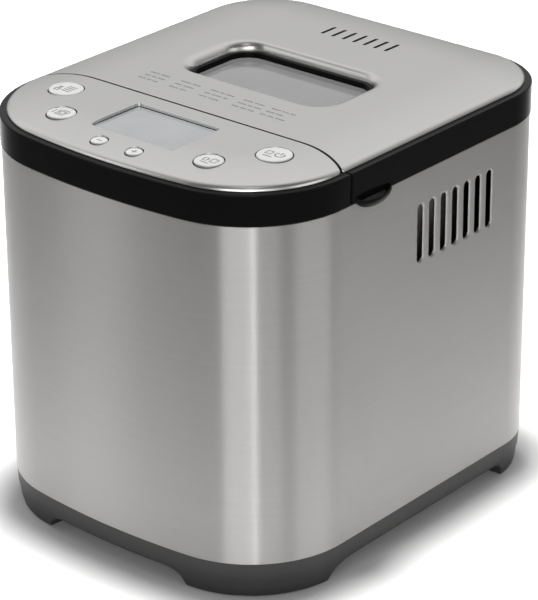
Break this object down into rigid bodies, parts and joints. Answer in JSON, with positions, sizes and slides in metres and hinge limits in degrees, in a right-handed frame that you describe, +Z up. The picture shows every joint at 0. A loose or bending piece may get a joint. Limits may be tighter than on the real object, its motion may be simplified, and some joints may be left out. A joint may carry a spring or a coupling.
{
  "type": "bread machine",
  "caption": "Household bread machine: steel-wrapped body, hinged lid with window, lift-out pan with handle and belt-driven kneading paddle.",
  "frame": {"origin": "on the floor, under the middle of the machine's bounding box", "axes": "+Z up, -Y towards the control panel, +X to the right as the user faces the machine's front"},
  "size_m": [0.2824, 0.3194, 0.2952],
  "materials": {
    "brushed_steel": "horizontally brushed stainless steel",
    "silver_cover": "satin silver",
    "black_gloss": "gloss black",
    "dark_plastic": "satin dark grey",
    "rubber": "matte black",
    "key_plastic": "satin off-white silver",
    "display_glass": "grey liquid-crystal display behind a clear lens",
    "window_glass": "clear grey glass",
    "circuit_board": "green solder mask",
    "aluminium": "plain sheet",
    "non_stick": "dark grey non-stick coat",
    "zinc_steel": "zinc-plated steel",
    "motor_steel": "grey paint",
    "heater_steel": "dark oxidised sheath",
    "wire_steel": "bright steel",
    "brass": "turned brass"
  },
  "bodies": {
    "housing": {"body_shell": "brushed_steel", "control_fascia": "silver_cover", "control_housing": "black_gloss", "base_tray": "dark_plastic", "deck_frame": "dark_plastic", "motor_capacitor": "dark_plastic", "cord_gland": "rubber", "keypad_membrane": "rubber", "drive_belt": "rubber", "lcd_lens": "display_glass", "lcd_module": "zinc_steel", "control_board": "circuit_board", "power_board": "circuit_board", "chamber_liner": "aluminium", "pan_socket": "zinc_steel", "element_bracket_left": "zinc_steel", "element_bracket_right": "zinc_steel", "chassis_plate": "zinc_steel", "drive_bearing": "zinc_steel", "heating_element": "heater_steel", "temperature_sensor": "wire_steel", "thermal_fuse": "brass", "hinge_pin_left": "wire_steel", "hinge_pin_right": "wire_steel", "motor_housing": "motor_steel", "foot_pad_front_right": "rubber", "base_screw_front_right": "zinc_steel", "foot_pad_front_left": "rubber", "base_screw_front_left": "zinc_steel", "foot_pad_rear_right": "rubber", "base_screw_rear_right": "zinc_steel", "foot_pad_rear_left": "rubber", "base_screw_rear_left": "zinc_steel"},
    "lid": {"lid_frame": "black_gloss", "lid_cover": "silver_cover", "window_bezel": "black_gloss", "window_glass_outer": "window_glass", "window_glass_inner": "window_glass", "lid_liner": "aluminium"},
    "pan": {"pan_shell": "non_stick", "pan_base": "aluminium", "pan_bearing": "brass", "pan_lug_left": "zinc_steel", "pan_lug_right": "zinc_steel"},
    "handle": {"pan_handle": "wire_steel"},
    "pan_spindle": {"pan_shaft": "wire_steel", "pan_coupler": "zinc_steel"},
    "paddle": {"kneading_paddle": "non_stick"},
    "drive": {"drive_shaft": "wire_steel", "main_pulley": "dark_plastic", "drive_coupler": "zinc_steel"},
    "motor_rotor": {"motor_shaft": "wire_steel", "motor_pulley": "brass"},
    "menu_button": {"menu_button": "key_plastic"},
    "colour_button": {"colour_button": "key_plastic"},
    "minus_button": {"minus_button": "key_plastic"},
    "plus_button": {"plus_button": "key_plastic"},
    "size_button": {"size_button": "key_plastic"},
    "start_button": {"start_button": "key_plastic"}
  },
  "joints": [
    {"name": "lid_hinge", "type": "hinge", "parent": "housing", "child": "lid", "pos_m": [0, 0.1555, 0.262], "axis": [-1, 0, 0], "range_deg": [0, 95]},
    {"name": "pan_lift", "type": "slide", "parent": "housing", "child": "pan", "axis": [0, 0, 1], "range_m": [0, 0.045]},
    {"name": "handle_swing", "type": "hinge", "parent": "pan", "child": "handle", "pos_m": [0, 0.0235, 0.205], "axis": [-1, 0, 0], "range_deg": [0, 180]},
    {"name": "drive_spin", "type": "hinge", "parent": "housing", "child": "drive", "pos_m": [0, 0.0235, 0.06], "axis": [0, 0, 1], "continuous": true},
    {"name": "spindle_spin", "type": "hinge", "parent": "pan", "child": "pan_spindle", "pos_m": [0, 0.0235, 0.1], "axis": [0, 0, 1], "continuous": true},
    {"name": "paddle_lift", "type": "slide", "parent": "pan_spindle", "child": "paddle", "axis": [0, 0, 1], "range_m": [0, 0.04]},
    {"name": "motor_spin", "type": "hinge", "parent": "housing", "child": "motor_rotor", "pos_m": [-0.056, -0.1015, 0.06], "axis": [0, 0, 1], "continuous": true},
    {"name": "menu_button_press", "type": "slide", "parent": "housing", "child": "menu_button", "axis": [0, 0, -1], "range_m": [0, 0.0008], "stiffness_N_per_m": 500},
    {"name": "colour_button_press", "type": "slide", "parent": "housing", "child": "colour_button", "axis": [0, 0, -1], "range_m": [0, 0.0008], "stiffness_N_per_m": 500},
    {"name": "minus_button_press", "type": "slide", "parent": "housing", "child": "minus_button", "axis": [0, 0, -1], "range_m": [0, 0.0008], "stiffness_N_per_m": 500},
    {"name": "plus_button_press", "type": "slide", "parent": "housing", "child": "plus_button", "axis": [0, 0, -1], "range_m": [0, 0.0008], "stiffness_N_per_m": 500},
    {"name": "size_button_press", "type": "slide", "parent": "housing", "child": "size_button", "axis": [0, 0, -1], "range_m": [0, 0.0008], "stiffness_N_per_m": 500},
    {"name": "start_button_press", "type": "slide", "parent": "housing", "child": "start_button", "axis": [0, 0, -1], "range_m": [0, 0.0008], "stiffness_N_per_m": 500}
  ],
  "couplings": [
    {"joint": "spindle_spin", "follows": "drive_spin", "ratio": 1},
    {"joint": "motor_spin", "follows": "drive_spin", "ratio": 5.7516}
  ]
}
